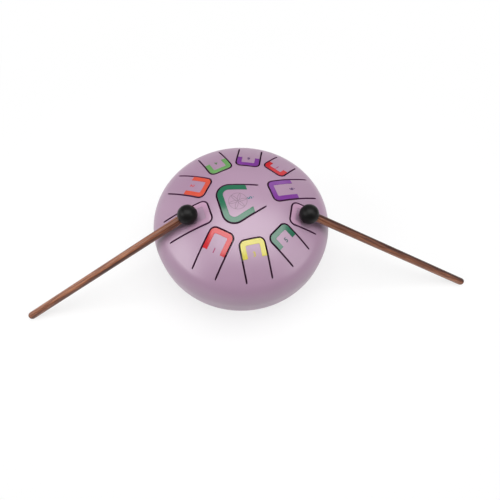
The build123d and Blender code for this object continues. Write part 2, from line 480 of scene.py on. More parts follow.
class Value:
    """A number that varies over a surface: arithmetic on it adds Math nodes to its graph."""

    def __init__(self, graph: "Graph", socket: bpy.types.NodeSocket) -> None:
        """Wraps an output socket of the graph."""
        self.graph = graph
        self.socket = socket

    def _with(self, operation: str, first: "Value | float", second: "Value | float") -> "Value":
        """A Math node on two numbers."""
        node = self.graph.node("ShaderNodeMath", {"operation": operation}, {0: first, 1: second})
        return Value(self.graph, node.outputs[0])

    def __add__(self, other: "Value | float") -> "Value":
        """self + other"""
        return self._with("ADD", self, other)

    def __radd__(self, other: float) -> "Value":
        """other + self"""
        return self._with("ADD", other, self)

    def __sub__(self, other: "Value | float") -> "Value":
        """self - other"""
        return self._with("SUBTRACT", self, other)

    def __rsub__(self, other: float) -> "Value":
        """other - self"""
        return self._with("SUBTRACT", other, self)

    def __mul__(self, other: "Value | float") -> "Value":
        """self * other"""
        return self._with("MULTIPLY", self, other)

    def __rmul__(self, other: float) -> "Value":
        """other * self"""
        return self._with("MULTIPLY", other, self)

    def above(self, other: "Value | float") -> "Value":
        """The larger of the two."""
        return self._with("MAXIMUM", self, other)

    def around(self, middle: float, spread: float) -> "Value":
        """A number that sways about a middle by half the spread each way, as this one goes from 0 to 1."""
        return (middle - spread / 2.0) + spread * self

    def smooth(self, low: float, high: float) -> "Value":
        """0 up to low, 1 from high on, and an even S between them."""
        limits = {"From Min": low, "From Max": high, "Value": self}
        node = self.graph.node("ShaderNodeMapRange", {"interpolation_type": "SMOOTHSTEP"}, limits)
        return Value(self.graph, node.outputs["Result"])


Input = Value | bpy.types.NodeSocket | float | Sequence[float]


class Graph:
    """The node tree of a finish, of the floor or of the world."""

    def __init__(self, tree: bpy.types.NodeTree) -> None:
        """Empties a tree and starts on it."""
        self.tree = tree
        self.tree.nodes.clear()

    def node(
        self, kind: str, settings: dict[str, object] | None = None,
        inputs: dict[str | int, Input] | None = None,
    ) -> bpy.types.Node:
        """Adds a node.

        Args:
            kind: The node's type.
            settings: Its settings, set first; stops are a ramp's places and colours.
            inputs: Values or links of its sockets, by name or number.

        Returns:
            The node.
        """
        node = self.tree.nodes.new(kind)
        for name, setting in (settings or {}).items():
            if name == "stops":
                self._set_stops(node.color_ramp, setting)
            else:
                setattr(node, name, setting)
        for name, given in (inputs or {}).items():
            socket = node.inputs[name]
            source = given.socket if isinstance(given, Value) else given
            if isinstance(source, bpy.types.NodeSocket):
                self.tree.links.new(source, socket)
            else:
                socket.default_value = source
        return node

    @staticmethod
    def _set_stops(ramp: bpy.types.ColorRamp, stops: Sequence[Stop]) -> None:
        """Gives a ramp its stops, of which it has two to begin with."""
        for element, (place, colour) in zip((ramp.elements[0], ramp.elements[-1]), (stops[0], stops[-1])):
            element.position = place
            element.color = (*colour, 1.0)
        for place, colour in stops[1:-1]:
            ramp.elements.new(place).color = (*colour, 1.0)

    def place(self) -> bpy.types.NodeSocket:
        """The point's place in the frame."""
        return self.node("ShaderNodeTexCoord").outputs["Object"]

    def attribute(self, name: str) -> Value:
        """A number that the mesh carries."""
        return Value(self, self.node("ShaderNodeAttribute", {"attribute_name": name}).outputs["Fac"])

    def drawn_out(self, vector: bpy.types.NodeSocket, share: float) -> bpy.types.NodeSocket:
        """Places squeezed along z, so that a texture on them is drawn out along it."""
        inputs = {"Vector": vector, "Scale": (1.0, 1.0, share)}
        return self.node("ShaderNodeMapping", {"vector_type": "POINT"}, inputs).outputs["Vector"]

    def noise(self, vector: bpy.types.NodeSocket, per_metre: float, detail: float = 2.0) -> Value:
        """Cloudy noise from 0 to 1 with so many blots to the metre."""
        inputs = {"Vector": vector, "Scale": per_metre, "Detail": detail}
        return Value(self, self.node("ShaderNodeTexNoise", None, inputs).outputs["Fac"])

    def ramp(self, share: Value, stops: Sequence[Stop]) -> bpy.types.NodeSocket:
        """A colour picked along stops."""
        return self.node("ShaderNodeValToRGB", {"stops": stops}, {"Fac": share}).outputs["Color"]

    def shade(self, colour: Input, factor: Value) -> bpy.types.NodeSocket:
        """A colour made lighter or darker by a factor."""
        inputs = {0: colour, "Scale": factor}
        return self.node("ShaderNodeVectorMath", {"operation": "SCALE"}, inputs).outputs["Vector"]

    def bump(self, height: Value, depth: float) -> bpy.types.NodeSocket:
        """Normals of a relief of that depth in metres."""
        inputs = {"Height": height, "Distance": depth, "Strength": 1.0}
        return self.node("ShaderNodeBump", None, inputs).outputs["Normal"]

    def seen(self, mirrored: Value) -> Value:
        """1 straight from the camera, the share mirrored by way of gloss or glass, and 0 for other rays."""
        path = self.node("ShaderNodeLightPath").outputs
        straight = Value(self, path["Is Camera Ray"])
        glossy = Value(self, path["Is Glossy Ray"])
        through = Value(self, path["Is Transmission Ray"])
        return straight.above(mirrored * glossy.above(through))


def blank_material(name: str) -> tuple[bpy.types.Material, Graph]:
    """A new material with an empty graph."""
    material = bpy.data.materials.new(name)
    material.use_nodes = True
    return material, Graph(material.node_tree)


def close(graph: Graph, inputs: dict[str, Input]) -> None:
    """Ends a finish's graph in one Principled shader with those inputs."""
    shader = graph.node("ShaderNodeBsdfPrincipled", None, inputs)
    graph.node("ShaderNodeOutputMaterial", None, {"Surface": shader.outputs["BSDF"]})


@dataclass(frozen=True)
class SatinPaint:
    """Baked satin paint over pressed steel, with painted shade in the slots: dark along their arrises,
    darkening down their walls, and dark on the sheet's underside.
    """

    colour: Colour = srgb(163, 132, 156)
    # painted shade on the slots' walls, darkening downwards to the colour below
    slot_shade: Colour = srgb(122, 48, 112)
    # painted shade on the slots' arrises and on the sheet's underside
    inside: Colour = srgb(70, 0, 58)
    outer_end: float = 0.005  # share of the sheet's depth at which the outer colour has ended
    arris_end: float = 0.12  # share down to which the arris is dark with painted shade, at the top and at the bottom
    wall_start: float = 0.14  # share at which the painted shade of the slots' walls starts
    roughness: float = 0.37
    dull: float = 0.9  # roughness in the slots
    ior: float = 1.75
    clouds_per_metre: float = 40.0
    cloud_detail: float = 3.0
    mottle: float = 0.06  # by how much the clouds lighten and darken the colour
    unevenness: float = 0.08  # by how much they change the roughness
    peel_per_metre: float = 1400.0
    peel_depth: float = 0.004 * MM

    def material(self) -> bpy.types.Material:
        """Builds the paint: clouds in colour and gloss, a fine peel, and painted shade, dark where the tone
        is high.
        """
        material, graph = blank_material("lavender_paint")
        place = graph.place()
        clouds = graph.noise(place, self.clouds_per_metre, self.cloud_detail)
        peel = graph.noise(place, self.peel_per_metre)
        depths = (0.0, self.outer_end, self.arris_end, self.wall_start, 1.0 - self.arris_end)
        colours = (self.colour, self.inside, self.inside, self.slot_shade, self.inside)
        tone = graph.attribute("tone")
        colour = graph.ramp(tone, list(zip(depths, colours)))
        gloss = clouds.around(self.roughness, self.unevenness)
        close(graph, {
            "Base Color": graph.shade(colour, clouds.around(1.0, self.mottle)),
            "Roughness": gloss + (self.dull - gloss) * tone.smooth(0.0, self.arris_end / 2.0),
            "IOR": self.ior,
            "Normal": graph.bump(peel, self.peel_depth),
        })
        return material


@dataclass(frozen=True)
class GlossFilm:
    """Smooth coloured film."""

    name: str
    colour: Colour
    roughness: float = 0.16
    ior: float = 1.6
    clouds_per_metre: float = 90.0
    mottle: float = 0.08  # by how much the clouds lighten and darken the colour
    unevenness: float = 0.04  # by how much they change the roughness

    def material(self) -> bpy.types.Material:
        """Builds the film: a nearly even colour under a clear gloss that is a little uneven."""
        material, graph = blank_material(self.name)
        clouds = graph.noise(graph.place(), self.clouds_per_metre)
        close(graph, {
            "Base Color": graph.shade(self.colour, clouds.around(1.0, self.mottle)),
            "Roughness": clouds.around(self.roughness, self.unevenness),
            "IOR": self.ior,
        })
        return material


@dataclass(frozen=True)
class PrintedInk:
    """Thin screen-printed ink, a little patchy."""

    name: str
    colour: Colour
    roughness: float = 0.45
    patches_per_metre: float = 900.0
    mottle: float = 0.16  # by how much the patches lighten and darken the colour

    def material(self) -> bpy.types.Material:
        """Builds the ink: its colour, lighter in small patches."""
        material, graph = blank_material(self.name)
        patches = graph.noise(graph.place(), self.patches_per_metre)
        close(graph, {
            "Base Color": graph.shade(self.colour, patches.around(1.0, self.mottle)),
            "Roughness": self.roughness,
        })
        return material


@dataclass(frozen=True)
class MouldedRubber:
    """Moulded black rubber."""

    name: str
    colour: Colour
    roughness: float
    grain_depth: float
    shine: float = 0.16  # share of a plain plastic's mirror light
    bloom_per_metre: float = 220.0
    bloom_detail: float = 4.0
    mottle: float = 0.3  # by how much the bloom lightens and darkens the colour
    unevenness: float = 0.1  # by how much it changes the roughness
    grain_per_metre: float = 2600.0

    def material(self) -> bpy.types.Material:
        """Builds the rubber: a dark even colour with faint bloom and a fine grain."""
        material, graph = blank_material(self.name)
        place = graph.place()
        bloom = graph.noise(place, self.bloom_per_metre, self.bloom_detail)
        grain = graph.noise(place, self.grain_per_metre)
        close(graph, {
            "Base Color": graph.shade(self.colour, bloom.around(1.0, self.mottle)),
            "Roughness": bloom.around(self.roughness, self.unevenness),
            "Specular IOR Level": self.shine,
            "Normal": graph.bump(grain, self.grain_depth),
        })
        return material


@dataclass(frozen=True)
class WoodTone:
    """How much darker than plain a stick's wood is drawn, as shares of the range of its grain, painted
    shade of the ball included.
    """

    one_side: float  # on the stick's own x side, and as much lighter on the other
    whole: float  # all over
    ball_shade: float  # besides, painted shade cast by the ball, darkest at the ball and fading along the stick


@dataclass(frozen=True)
class OiledWood:
    """Oiled red-brown hardwood whose grain runs along a stick, darker on one side and with painted shade
    near the ball.
    """

    name: str
    origin: Array
    axes: Array
    radius: float
    tone: WoodTone
    dark: Stop = (0.36, srgb(66, 28, 14))
    middle: Stop = (0.5, srgb(126, 74, 50))
    light: Stop = (0.62, srgb(170, 112, 80))
    fade: float = 105.0 * MM  # distance from the ball's centre at which its own shade ends
    streak: float = 0.03  # share of their scale that streaks and pores keep along the stick
    streaks_per_metre: float = 420.0
    streak_detail: float = 4.0
    streak_weight: float = 0.55  # share of the streaks in the grain, of which flecks are the rest
    fleck: float = 0.06  # share of their scale that flecks keep along the stick
    flecks_per_metre: float = 900.0
    fleck_detail: float = 3.0
    pores_per_metre: float = 3200.0
    pore_opening: tuple[float, float] = (0.6, 0.7)  # noise at which a pore starts and is open
    pore_shade: float = 0.45
    roughness: float = 0.44
    unevenness: float = 0.16  # by how much the flecks change the roughness
    relief: float = 0.02 * MM

    def material(self) -> bpy.types.Material:
        """Builds the wood: streaks and pores of noise drawn out along the stick's own axis, darker on one
        side, with painted shade near the ball.
        """
        material, graph = blank_material(self.name)
        turn = Matrix(self.axes.tolist())
        inputs = {
            "Vector": graph.place(),
            "Rotation": tuple(turn.to_euler("XYZ")),
            "Location": tuple(turn @ -Vector(self.origin)),
        }
        along = graph.node("ShaderNodeMapping", {"vector_type": "POINT"}, inputs).outputs["Vector"]
        ways = graph.node("ShaderNodeSeparateXYZ", None, {0: along}).outputs
        aside = Value(graph, ways["X"])
        far = Value(graph, ways["Z"]).smooth(0.0, self.fade)
        drawn = graph.drawn_out(along, self.streak)
        streaks = graph.noise(drawn, self.streaks_per_metre, self.streak_detail)
        pores = graph.noise(drawn, self.pores_per_metre).smooth(*self.pore_opening)
        flecks = graph.noise(graph.drawn_out(along, self.fleck), self.flecks_per_metre, self.fleck_detail)
        tone = self.tone
        # darker all over, on the stick's own x side, and with the painted shade of the ball near it
        shade = tone.whole + tone.ball_shade * (1.0 - far) + (tone.one_side / self.radius) * aside
        grain = self.streak_weight * streaks + (1.0 - self.streak_weight) * flecks - shade
        wood = graph.ramp(grain, [self.dark, self.middle, self.light])
        close(graph, {
            "Base Color": graph.shade(wood, 1.0 - self.pore_shade * pores),
            "Roughness": flecks.around(self.roughness, self.unevenness),
            "Normal": graph.bump(streaks - pores, self.relief),
        })
        return material


@dataclass(frozen=True)
class NotePaint:
    """Colours of one note: the record's slot, which is not used, the film of the band and the ink of the
    numeral.
    """

    slot: str
    film: Colour
    ink: Colour


class NoteColour(Enum):
    """The colours that tell the notes apart."""

    SEA = NotePaint("band_green", srgb(42, 104, 78), srgb(40, 104, 116))
    GREEN = NotePaint("band_green", srgb(42, 101, 78), srgb(60, 78, 84))
    LEAF = NotePaint("band_leaf", srgb(104, 152, 92), srgb(84, 118, 72))
    PURPLE = NotePaint("band_purple", srgb(120, 58, 142), srgb(62, 24, 84))
    RED = NotePaint("band_red", srgb(189, 36, 44), srgb(148, 20, 86))
    PINK = NotePaint("band_pink", srgb(184, 146, 172), srgb(160, 100, 138))
    YELLOW = NotePaint("band_yellow", srgb(198, 187, 74), srgb(186, 170, 60))
    ORANGE = NotePaint("band_orange", srgb(204, 83, 67), srgb(196, 62, 66))


class Octave(Enum):
    """Side of the numeral on which its octave dot stands, counted towards the tip."""

    LOW = -1
    MIDDLE = 0
    HIGH = 1


class Side(Enum):
    """The two mallets."""

    LEFT = "left"
    RIGHT = "right"


def install(
    piece: bpy.types.Object, material: bpy.types.Material, body: str,
    node: str | None = None,
) -> None:
    """Dresses a finished piece and puts it on its body.

    Args:
        piece: The piece, in its place.
        material: Its finish.
        body: The CAD body that it moves with.
        node: The CAD node that it stands for.
    """
    piece.data.materials.append(material)
    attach(piece, body)
    if node:
        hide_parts(node)
    log.info("%s on %s, %d triangles", piece.name, body, len(piece.data.polygons))


# The drum


def node_points(node: str) -> Array:
    """Points of a CAD node at rest."""
    mesh = frame["nodes"][node].data
    flat = np.empty(len(mesh.vertices) * 3, dtype=np.float32)
    mesh.vertices.foreach_get("co", flat)
    return flat.reshape(-1, 3).astype(float)


def joint_line(name: str) -> tuple[Array, Array]:
    """A place on a joint's axis, and the axis."""
    found = next(joint for joint in frame["joints"] if joint["name"] == name)
    return np.array(found["pos_m"]), np.array(found["axis"])


@dataclass(frozen=True)
class DrumForm:
    """The drum's half section, as radii and heights about its axis."""

    radius: float
    seam_z: float
    base_z: float
    sheet: float = 1.5 * MM
    dome_radius: float = 120.0 * MM
    shoulder_radius: float = 23.2 * MM
    top_wall: float = 4.4 * MM
    bottom_wall: float = 4.5 * MM
    belly_radius: float = 22.0 * MM
    belly_slope: float = math.radians(30.0)
    base_bend_radius: float = 15.0 * MM
    base_radius: float = 42.0 * MM
    sound_hole_radius: float = 20.0 * MM
    arris: float = 0.25 * MM

    @classmethod
    def from_frame(cls) -> "DrumForm":
        """The form with the frame's own outer sizes."""
        top_low, top_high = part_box("top_shell")
        return cls(radius=top_high.x, seam_z=top_low.z, base_z=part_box("bottom_shell")[0].z)

    @property
    def shoulder_z(self) -> float:
        """Height of the centre of the shoulder's bend."""
        return self.seam_z + self.top_wall

    @property
    def shoulder_centre(self) -> float:
        """Radius of the centre of the shoulder's bend."""
        return self.radius - self.shoulder_radius

    @property
    def sweep(self) -> float:
        """Angle from the crown to the edge of the dome."""
        return math.asin(self.shoulder_centre / (self.dome_radius - self.shoulder_radius))

    @property
    def dome_z(self) -> float:
        """Height of the dome's centre."""
        return self.shoulder_z - self.shoulder_centre / math.tan(self.sweep)

    @property
    def dome_edge(self) -> float:
        """Radius at which the dome meets the shoulder."""
        return self.dome_radius * math.sin(self.sweep)

    @property
    def base_edge(self) -> float:
        """Radius at which the flat base meets its bend."""
        return self.base_radius - self.base_bend_radius * math.tan(self.belly_slope / 2.0)

    def dome_skin(self, plan: Array, depth: Array | float) -> tuple[Array, Array]:
        """Places on the dome, depth below its outside, straight over plan points.

        The place lies on a ball about the dome's centre, and past the ball's edge on the ring of the
        shoulder's bend, both made smaller by depth. The normal points away from that centre.

        Args:
            plan: Plan points.
            depth: How far below the outside.

        Returns:
            Places and outward normals.
        """
        distance = np.linalg.norm(plan, axis=-1)
        ball = self.dome_radius - depth
        bend = self.shoulder_radius - depth
        bent = distance > ball * math.sin(self.sweep)
        reach = np.where(bent, distance - self.shoulder_centre, distance)
        round_radius = np.where(bent, bend, ball)
        rise = np.sqrt(np.maximum(round_radius**2 - reach**2, 0.0))
        height = np.where(bent, self.shoulder_z, self.dome_z) + rise
        level = (reach / round_radius / np.maximum(distance, WELD))[..., None] * plan
        points = np.concatenate([plan, height[..., None]], axis=-1)
        return points, np.concatenate([level, (rise / round_radius)[..., None]], axis=-1)

    def base_skin(self, plan: Array, depth: Array | float) -> tuple[Array, Array]:
        """Places on the flat base, depth above its underside, and normals straight down."""
        height = np.broadcast_to(self.base_z + depth, plan.shape[:-1])
        down = np.broadcast_to(np.array([0.0, 0.0, -1.0]), (*plan.shape[:-1], 3))
        return np.concatenate([plan, height[..., None]], axis=-1), down


@dataclass(frozen=True)
class TongueShape:
    """Widths of a tongue at its root and where its straight sides would meet the tip, and of its band."""

    root_width: float
    tip_width: float
    corner: float
    band_width: float


@dataclass(frozen=True)
class TonguePlan:
    """One tongue in plan, along and across its own centre line."""

    shape: TongueShape
    outward: Array  # plan direction of the line, from the tip to the root
    offset: float  # of the line to the left of the drum's axis
    root: float
    tip: float
    band_end: float
    side_step: float = 1.0 * MM
    corner_steps: int = 10
    tip_steps: int = 16
    root_steps: int = 20
    ramp: float = 1.5 * MM  # length over which the arris fades out at the root

    @classmethod
    def from_frame(cls, note: str, shape: TongueShape) -> "TonguePlan":
        """The plan of a note's tongue, with its line, root, tip and band read from the frame.

        Args:
            note: The note's name.
            shape: The tongue's widths.

        Returns:
            The plan.
        """
        hinge, axis = joint_line(f"tongue_{note}_swing")
        left = axis[:2]
        outward = np.array([left[1], -left[0]])
        tip = float((node_points(f"tongue_{note}")[:, :2] @ outward).min())
        band_end = float((node_points(f"band_{note}")[:, :2] @ outward).max())
        return cls(shape, outward, float(hinge[:2] @ left), float(hinge[:2] @ outward), tip, band_end)

    def turned(self, vectors: Array) -> Array:
        """Directions along and across the tongue, turned into the drum's plan."""
        left = np.array([-self.outward[1], self.outward[0]])
        return vectors[..., :1] * self.outward + vectors[..., 1:] * left

    def placed(self, plan: Array) -> Array:
        """Points along and across the tongue's own line, put in the drum's plan."""
        return self.turned(plan + np.array([0.0, self.offset]))

    def path(self, grow: float, end: float, corner: float) -> tuple[Array, Array]:
        """The line from the left side at end round the tip to the right side at end.

        The sides are straight and spread evenly from root to tip, the corners are arcs that touch both
        neighbours, and the whole line is moved outwards by grow.

        Args:
            grow: Offset outwards.
            end: Place along the tongue where the sides end.
            corner: Radius of the corners.

        Returns:
            Points along and across the tongue, and the outward directions there.
        """
        root_width = self.shape.root_width
        flare = (self.shape.tip_width - root_width) / 2.0 / (self.root - self.tip)
        slant = math.hypot(1.0, flare)
        tip = self.tip - grow

        def half_width(along: Array | float) -> Array | float:
            """Half of the width at a place along the tongue."""
            return root_width / 2.0 + flare * (self.root - along) + grow * slant

        centre = np.array([tip + corner, half_width(tip + corner) - corner * slant])
        first = math.atan2(1.0, flare)
        angle = np.linspace(first, np.pi, self.corner_steps + 1)
        spoke = np.stack([np.cos(angle), np.sin(angle)], axis=-1)
        arc = centre + corner * spoke
        side_steps = max(2, round((self.root - self.tip) / self.side_step))
        along = np.linspace(end, arc[0, 0], side_steps, endpoint=False)
        side = np.stack([along, half_width(along)], axis=-1)
        across = np.linspace(arc[-1, 1], -arc[-1, 1], self.tip_steps + 1)[1:-1]
        tip_line = np.stack([np.full_like(across, tip), across], axis=-1)
        mirror = np.array([1.0, -1.0])
        left = np.concatenate([side, arc])
        left_out = np.concatenate([np.broadcast_to(spoke[0], side.shape), spoke])
        tip_out = np.broadcast_to(np.array([-1.0, 0.0]), tip_line.shape)
        points = np.concatenate([left, tip_line, left[::-1] * mirror])
        return points, np.concatenate([left_out, tip_out, left_out[::-1] * mirror])

    def outline(self, grow: float, end: float, arris: float) -> Outline:
        """The closed loop of the tongue, or of its window where it is grown by the slot.

        Args:
            grow: Offset outwards.
            end: Place along the tongue where the loop closes.
            arris: Radius of the arrises, which fades out at the end.

        Returns:
            The loop.
        """
        points, outward = self.path(grow, end, self.shape.corner + grow)
        fade = np.clip((end - points[:, 0]) / self.ramp, 0.0, 1.0)
        root_line = np.linspace(points[-1], points[0], self.root_steps + 1)
        root_out = np.broadcast_to(np.array([1.0, 0.0]), root_line.shape)
        loop = self.placed(np.concatenate([points, root_line]))
        away = self.turned(np.concatenate([outward, root_out]))
        return Outline(loop, away, np.concatenate([arris * fade, np.zeros(len(root_line))]))


@dataclass(frozen=True)
class Shells:
    """The drum's body: top shell, bottom shell and feet."""

    form: DrumForm
    tongues: Sequence[TonguePlan]
    paint: bpy.types.Material
    foot_rubber: bpy.types.Material
    slot: float = 1.0 * MM
    root_gap: float = 0.014 * MM
    stem_hole: float = 3.05 * MM
    bend_steps: int = 28
    dome_pitch: float = 2.6 * MM
    base_pitch: float = 5.0 * MM
    feet: tuple[str, ...] = ("foot_1", "foot_2", "foot_3")
    pad_radius: float = 7.0 * MM
    toe_radius: float = 6.0 * MM
    toe_rounding: float = 0.8 * MM
    toe_steps: int = 8
    stem_radius: float = 3.0 * MM
    barb_radius: float = 4.2 * MM
    barb_top_radius: float = 2.2 * MM
    body: str = "drum"

    def build(self) -> None:
        """Makes and dresses the shells and the feet."""
        top = make_piece("top_shell_steel", self.top_shell())
        install(top, self.paint, self.body, "top_shell")
        bottom = make_piece("bottom_shell_steel", self.bottom_shell())
        install(bottom, self.paint, self.body, "bottom_shell")
        for node in self.feet:
            foot = make_piece(f"{node}_rubber", [self.foot(node)])
            install(foot, self.foot_rubber, self.body, node)

    def top_shell(self) -> list[Surface]:
        """The dome with a window round each tongue, and below it the turned shoulder and wall."""
        form = self.form
        edge = Outline.circle(form.dome_edge, joined=True)
        gap = self.root_gap
        windows = [tongue.outline(self.slot, tongue.root + gap, form.arris) for tongue in self.tongues]
        holes = [window.as_hole() for window in windows]
        dome = plate([edge, *holes], form.dome_skin, form.sheet, self.dome_pitch)
        centre = (form.shoulder_centre, form.shoulder_z)
        inside = form.radius - form.sheet
        inner_bend = form.shoulder_radius - form.sheet
        inner_end = math.acos((form.dome_edge - form.shoulder_centre) / inner_bend)
        outer_wall = (form.radius, form.shoulder_z), (form.radius, form.seam_z)
        inner_wall = (inside, form.seam_z), (inside, form.shoulder_z)
        skirt = Profile.chain(
            Profile.arc(centre, form.shoulder_radius, np.pi / 2.0 - form.sweep, 0.0, self.bend_steps),
            Profile.path(*outer_wall, *inner_wall),
            Profile.arc(centre, inner_bend, 0.0, inner_end, self.bend_steps),
        )
        return [*dome, skirt.turned(tone=self.inside_tone(skirt))]

    def bottom_shell(self) -> list[Surface]:
        """The turned bowl and the flat base with the sound hole and the feet's holes."""
        form = self.form
        belly = (form.radius - form.belly_radius, form.seam_z - form.bottom_wall)
        bend = (form.base_edge, form.base_z + form.base_bend_radius)
        low = -np.pi / 2.0
        slope = low + form.belly_slope
        inside = form.radius - form.sheet
        half_steps = self.bend_steps // 2
        inner_wall = (inside, belly[1]), (inside, form.seam_z)
        outer_wall = (form.radius, form.seam_z), (form.radius, belly[1])
        bowl = Profile.chain(
            Profile.arc(bend, form.base_bend_radius - form.sheet, low, slope, half_steps),
            Profile.arc(belly, form.belly_radius - form.sheet, slope, 0.0, self.bend_steps),
            Profile.path(*inner_wall, *outer_wall),
            Profile.arc(belly, form.belly_radius, 0.0, slope, self.bend_steps),
            Profile.arc(bend, form.base_bend_radius, slope, low, half_steps),
        )
        edge = Outline.circle(form.base_edge, joined=True)
        holes = [Outline.circle(form.sound_hole_radius, rounding=form.arris).as_hole()]
        for node in self.feet:
            centre = self.foot_centre(node)[:2]
            holes.append(Outline.circle(self.stem_hole, centre, steps=SMALL_STEPS).as_hole())
        base = plate([edge, *holes], form.base_skin, form.sheet, self.base_pitch)
        return [bowl.turned(tone=self.inside_tone(bowl)), *base]

    def inside_tone(self, profile: Profile) -> Array:
        """Tone of a turned wall: 1 where its normal points to the middle of the drum."""
        outwards = profile.points - np.array([0.0, self.form.seam_z])
        facing = (profile.normals * outwards).sum(axis=1, keepdims=True)
        return (facing < -WELD).astype(float)

    @staticmethod
    def foot_centre(node: str) -> Array:
        """Centre of a foot's box."""
        low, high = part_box(node)
        return np.array((low + high) / 2.0)

    def foot(self, node: str) -> Surface:
        """A push-in foot: barb above the base, stem in its hole, and a pad with a rounded toe."""
        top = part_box(node)[1].z
        base = self.form.base_z
        inside = base + self.form.sheet
        edge = self.toe_rounding
        lean = (self.pad_radius - self.toe_radius) / base
        centre = (self.toe_radius + lean * edge - edge * math.hypot(1.0, lean), edge)
        start = -math.atan(lean)
        side_foot = (centre[0] + edge * math.cos(start), centre[1] + edge * math.sin(start))
        barb = (0.0, top), (self.barb_top_radius, top), (self.barb_radius, inside)
        stem = (self.stem_radius, inside), (self.stem_radius, base)
        profile = Profile.chain(
            Profile.path(*barb, *stem, (self.pad_radius, base), side_foot),
            Profile.arc(centre, edge, start, -np.pi / 2.0, self.toe_steps),
            Profile.line((centre[0], 0.0), (0.0, 0.0)),
        )
        origin = self.foot_centre(node) * np.array([1.0, 1.0, 0.0])
        return profile.turned(SMALL_STEPS).placed(origin, np.eye(3))


@dataclass(frozen=True)
class NoteStyle:
    """How a note is marked: its colour, its octave and how far its numeral stands from the drum's axis."""

    colour: NoteColour
    octave: Octave
    numeral_place: float


@dataclass(frozen=True)
class Note:
    """One note: its tongue, its coloured band and its printed numeral."""

    name: str
    style: NoteStyle
    plan: TonguePlan
    form: DrumForm
    paint: bpy.types.Material
    film: bpy.types.Material
    ink: bpy.types.Material
    pitch: float = 2.2 * MM
    band_gap: float = 0.02 * MM
    band_thickness: float = 0.25 * MM
    band_edge: float = 0.1 * MM
    band_inset: float = 0.15 * MM
    band_inner_corner: float = 1.0 * MM
    ink_gap: float = 0.005 * MM
    ink_thickness: float = 0.03 * MM
    numeral_height: float = 3.7 * MM
    dot_radius: float = 0.42 * MM
    dot_distance: float = 2.9 * MM
    dot_steps: int = 20

    @property
    def body(self) -> str:
        """The CAD body that the note's pieces move with."""
        return f"note_{self.name}"

    def build(self) -> None:
        """Makes and dresses the tongue, the band and the numeral."""
        tongue = make_piece(f"tongue_{self.name}_steel", self.tongue())
        install(tongue, self.paint, self.body, f"tongue_{self.name}")
        band = make_piece(f"band_{self.name}_film", self.band())
        install(band, self.film, self.body, f"band_{self.name}")
        numeral = make_piece(f"numeral_{self.name}", self.numeral())
        install(numeral, self.ink, self.body)

    def tongue(self) -> list[Surface]:
        """The tongue's sheet."""
        loop = self.plan.outline(0.0, self.plan.root, self.form.arris)
        return plate([loop], self.form.dome_skin, self.form.sheet, self.pitch)

    def band(self) -> list[Surface]:
        """The U of film along the tip and the sides."""
        plan = self.plan
        corner = plan.shape.corner
        inner_grow = -self.band_inset - plan.shape.band_width
        inner_corner = max(corner + inner_grow, self.band_inner_corner)
        outer, _ = plan.path(-self.band_inset, plan.band_end, corner - self.band_inset)
        inner, _ = plan.path(inner_grow, plan.band_end, inner_corner)
        section = (self.band_gap, self.band_thickness, self.band_edge)
        return strip(plan.placed(inner), plan.placed(outer), self.form.dome_skin, *section)

    def printed_skin(self, plan: Array, depth: Array | float) -> tuple[Array, Array]:
        """The dome's skin raised to the top of the ink."""
        return self.form.dome_skin(plan, depth - self.ink_gap - self.ink_thickness)

    def numeral(self) -> list[Surface]:
        """The numeral with its top towards the tip, and the dot of a low or a high octave."""
        place, octave = self.style.numeral_place, self.style.octave
        points, faces = flat_text(self.name[-1], self.numeral_height)
        plan = np.stack([place - points[:, 1], points[:, 0]], axis=-1)
        depth = np.where(points[:, 2] > 0.0, 0.0, self.ink_thickness)
        surfaces = [faceted(self.printed_skin(self.plan.placed(plan), depth)[0], faces)]
        if octave is not Octave.MIDDLE:
            centre = self.plan.placed(np.array([place - octave.value * self.dot_distance, 0.0]))
            dot = Outline.circle(self.dot_radius, centre, steps=self.dot_steps)
            surfaces += plate([dot], self.printed_skin, self.ink_thickness, self.dot_radius)
        return surfaces


def flat_text(text: str, height: float) -> tuple[Array, Array]:
    """A plain numeral about its own middle, lying in x and y with its two faces either side of z = 0.

    Args:
        text: What it says.
        height: Its height.

    Returns:
        Points and triangles.
    """
    curve = bpy.data.curves.new(f"text_{text}", "FONT")
    curve.body = text
    curve.extrude = TEXT_EXTRUDE
    curve.offset = TEXT_WEIGHT
    curve.resolution_u = TEXT_STEPS
    holder = bpy.data.objects.new(f"text_{text}", curve)
    bpy.context.scene.collection.objects.link(holder)
    mesh = bpy.data.meshes.new_from_object(holder)
    mesh.calc_loop_triangles()
    points = np.empty(len(mesh.vertices) * 3, dtype=np.float32)
    mesh.vertices.foreach_get("co", points)
    faces = np.empty(len(mesh.loop_triangles) * 3, dtype=np.int32)
    mesh.loop_triangles.foreach_get("vertices", faces)
    bpy.data.objects.remove(holder)
    bpy.data.curves.remove(curve)
    bpy.data.meshes.remove(mesh)
    points = points.reshape(-1, 3).astype(float)
    low, high = points.min(axis=0), points.max(axis=0)
    points[:, :2] -= (low[:2] + high[:2]) / 2.0
    return points * height / (high[1] - low[1]), faces.reshape(-1, 3)


